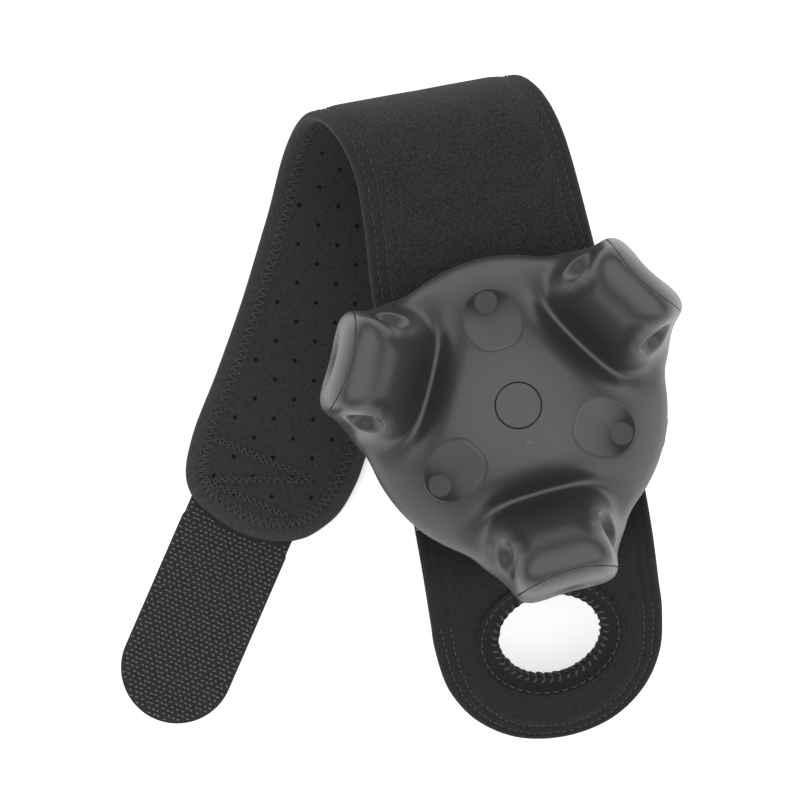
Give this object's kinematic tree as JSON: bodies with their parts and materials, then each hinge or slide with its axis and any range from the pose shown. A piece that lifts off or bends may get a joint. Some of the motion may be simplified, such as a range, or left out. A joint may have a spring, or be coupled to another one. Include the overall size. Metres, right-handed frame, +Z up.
{
  "type": "vr motion controller",
  "caption": "Domed motion tracker with arms and sensor dimples, screwed to a padded hand band that has a thumb hole, a loop and a hook tab.",
  "frame": {"origin": "on the table, under the middle of the box round the whole part", "axes": "+Z up, the tracker's own axis; +Y along the front panel from the thumb hole towards the loop; +X to the right when seen from above with the loop at the top"},
  "size_m": [0.1637, 0.1796, 0.0863],
  "materials": {
    "shell_grey": "satin soft-touch",
    "window_dark": "infrared-passing dark window",
    "chip_black": "moulded epoxy",
    "base_black": "moulded",
    "pad_rubber": "grippy",
    "brass_insert": "turned",
    "gold_pins": "gold plated",
    "board_green": "solder mask",
    "screw_steel": "plated",
    "port_steel": "stamped",
    "bolt_steel": "turned",
    "battery_wrap": "foil pouch",
    "led_white": "moulded",
    "clear_plastic": "clear",
    "ceramic_white": "ceramic",
    "loop_pile": "brushed loop pile",
    "foam_black": "closed-cell foam",
    "lining_fabric": "perforated knit",
    "ring_fabric": "sewn patch",
    "tab_webbing": "woven tape",
    "hook_tape": "moulded hooks on tape"
  },
  "bodies": {
    "tracker_and_front": {"top_shell": "shell_grey", "bottom_shell": "shell_grey", "top_sensor_window_1": "window_dark", "top_sensor_window_2": "window_dark", "top_sensor_window_3": "window_dark", "side_sensor_window_1": "window_dark", "side_sensor_window_2": "window_dark", "side_sensor_window_3": "window_dark", "side_sensor_window_4": "window_dark", "side_sensor_window_5": "window_dark", "side_sensor_window_6": "window_dark", "end_sensor_window_1": "window_dark", "end_sensor_window_2": "window_dark", "end_sensor_window_3": "window_dark", "photodiodes": "chip_black", "docking_base": "base_black", "friction_pad": "pad_rubber", "threaded_insert": "brass_insert", "contact_block": "base_black", "contact_pins": "gold_pins", "main_board": "board_green", "board_screws": "screw_steel", "case_screws": "screw_steel", "battery_cradle": "base_black", "battery": "battery_wrap", "switch_tower": "base_black", "switch_board": "board_green", "tact_switch": "screw_steel", "status_led": "led_white", "light_pipe": "clear_plastic", "usb_socket": "port_steel", "circuit_chips": "chip_black", "radio_antenna": "ceramic_white", "front_cover": "loop_pile", "front_foam": "foam_black", "front_lining": "lining_fabric", "loop_cover": "loop_pile", "loop_foam": "foam_black", "loop_lining": "lining_fabric", "clamp_plate": "base_black", "bolt_washer": "screw_steel", "fixing_bolt": "bolt_steel"},
    "button": {"power_button": "shell_grey"},
    "thumb_flap": {"thumb_cover": "loop_pile", "thumb_foam": "foam_black", "thumb_lining": "lining_fabric", "thumb_ring": "ring_fabric"},
    "tail": {"tail_cover": "loop_pile", "tail_foam": "foam_black", "tail_lining": "lining_fabric", "tab_anchor": "tab_webbing"},
    "tab": {"tab_base": "tab_webbing", "tab_hooks": "hook_tape"}
  },
  "joints": [
    {"name": "power_button_press", "type": "slide", "parent": "tracker_and_front", "child": "button", "axis": [0, 0, -1], "range_m": [0, 0.0004], "stiffness_N_per_m": 3000, "springref_m": -0.0002},
    {"name": "band_open", "type": "hinge", "parent": "tracker_and_front", "child": "tail", "pos_m": [0.03321, 0.06777, 0.022], "axis": [1, 0, 0], "range_deg": [-25, 45], "deforming": ["loop_cover", "loop_foam", "loop_lining"]},
    {"name": "thumb_bend", "type": "hinge", "parent": "tracker_and_front", "child": "thumb_flap", "pos_m": [0.03321, -0.02823, 0.042], "axis": [-1, 0, 0], "range_deg": [-25, 35]},
    {"name": "tab_fold", "type": "hinge", "parent": "tail", "child": "tab", "pos_m": [-0.04633, -0.02089, 0.0005], "axis": [-0.83, 0.5577, 0], "range_deg": [-60, 110]}
  ]
}
